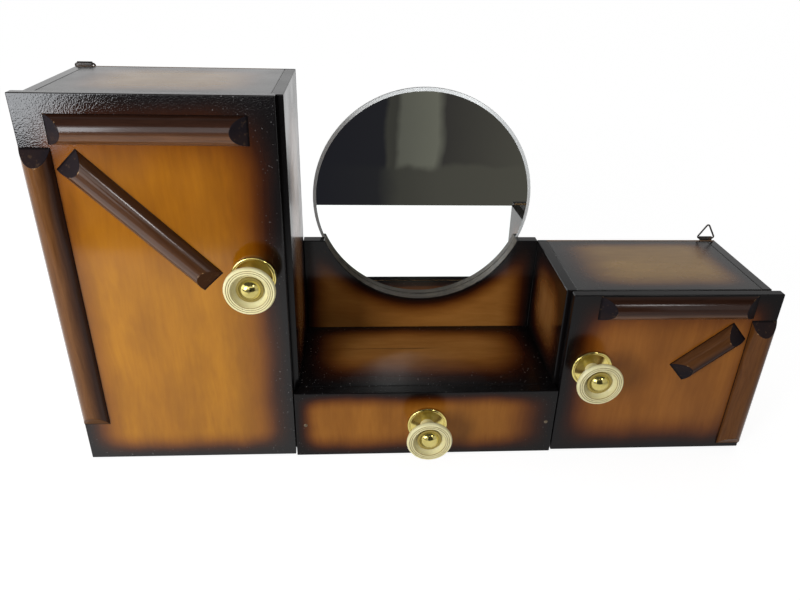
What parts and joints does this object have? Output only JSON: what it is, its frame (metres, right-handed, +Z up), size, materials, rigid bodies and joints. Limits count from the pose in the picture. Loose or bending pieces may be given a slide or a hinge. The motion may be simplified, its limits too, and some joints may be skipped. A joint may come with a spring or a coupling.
{
  "type": "mirrored medicine cabinet",
  "caption": "Small wooden wall cabinet with a tall and a low cupboard, an open niche with a drawer below and a round bevelled mirror behind it.",
  "frame": {"origin": "middle of the underside that the cabinet stands on, half-way along its width and half-way through the depth of its case boards", "axes": "+X to the right as seen from the front, -Y out of the front, +Z up"},
  "size_m": [0.6, 0.1613, 0.3251],
  "materials": {
    "burst_wood": "gloss lacquer, shaded from amber to black",
    "dark_wood": "dark brown gloss lacquer",
    "plain_wood": "bare, sanded",
    "hardboard": "smooth hardboard",
    "mirror": "polished, ground bevel",
    "brass": "polished",
    "cream_plastic": "satin",
    "black_plastic": "matte",
    "dark_steel": "dark, dull",
    "steel": "plain"
  },
  "bodies": {
    "case": {"left_side_panel": "burst_wood", "left_partition": "burst_wood", "right_partition": "burst_wood", "right_side_panel": "burst_wood", "left_top_panel": "burst_wood", "right_top_panel": "burst_wood", "left_bottom_panel": "burst_wood", "centre_bottom_panel": "burst_wood", "right_bottom_panel": "burst_wood", "niche_shelf": "burst_wood", "left_back_panel": "hardboard", "centre_back_panel": "burst_wood", "right_back_panel": "hardboard", "left_cupboard_shelf": "plain_wood", "shelf_cleats": "plain_wood", "mirror_glass": "mirror", "mirror_clips": "steel", "mirror_clip_screws": "steel", "left_hinge_case_leaves": "steel", "right_hinge_case_leaves": "steel", "hinge_pins": "steel", "hinge_case_screws": "steel", "door_catches": "black_plastic", "hanger_straps": "dark_steel", "hanger_screws": "steel", "back_panel_nails": "steel"},
    "left_door": {"left_door_panel": "burst_wood", "left_door_top_moulding": "dark_wood", "left_door_side_moulding": "dark_wood", "left_door_diagonal_moulding": "dark_wood", "left_knob_rosette": "brass", "left_knob_body": "cream_plastic", "left_knob_cap": "brass", "left_knob_screw": "steel", "left_hinge_door_leaves": "steel", "left_hinge_door_screws": "steel", "left_strike_plate": "steel"},
    "right_door": {"right_door_panel": "burst_wood", "right_door_top_moulding": "dark_wood", "right_door_side_moulding": "dark_wood", "right_door_diagonal_moulding": "dark_wood", "right_knob_rosette": "brass", "right_knob_body": "cream_plastic", "right_knob_cap": "brass", "right_knob_screw": "steel", "right_hinge_door_leaves": "steel", "right_hinge_door_screws": "steel", "right_strike_plate": "steel"},
    "drawer": {"drawer_front": "burst_wood", "drawer_sides": "plain_wood", "drawer_back": "plain_wood", "drawer_bottom": "plain_wood", "drawer_front_nails": "dark_steel", "drawer_knob_rosette": "brass", "drawer_knob_body": "cream_plastic", "drawer_knob_cap": "brass", "drawer_knob_screw": "steel"},
    "left_ring": {"left_hanger_ring": "dark_steel"},
    "right_ring": {"right_hanger_ring": "dark_steel"}
  },
  "joints": [
    {"name": "left_door_swing", "type": "hinge", "parent": "case", "child": "left_door", "pos_m": [-0.2968, -0.0548, 0.16], "axis": [0, 0, -1], "range_deg": [0, 140]},
    {"name": "right_door_swing", "type": "hinge", "parent": "case", "child": "right_door", "pos_m": [0.2968, -0.0548, 0.08], "axis": [0, 0, 1], "range_deg": [0, 140]},
    {"name": "drawer_slide", "type": "slide", "parent": "case", "child": "drawer", "axis": [0, -1, 0], "range_m": [0, 0.085]},
    {"name": "left_ring_swing", "type": "hinge", "parent": "case", "child": "left_ring", "pos_m": [-0.2885, 0.05778, 0.3233], "axis": [1, 0, 0], "range_deg": [0, 245]},
    {"name": "right_ring_swing", "type": "hinge", "parent": "case", "child": "right_ring", "pos_m": [0.2866, 0.05778, 0.1653], "axis": [1, 0, 0], "range_deg": [-160, 85]}
  ]
}
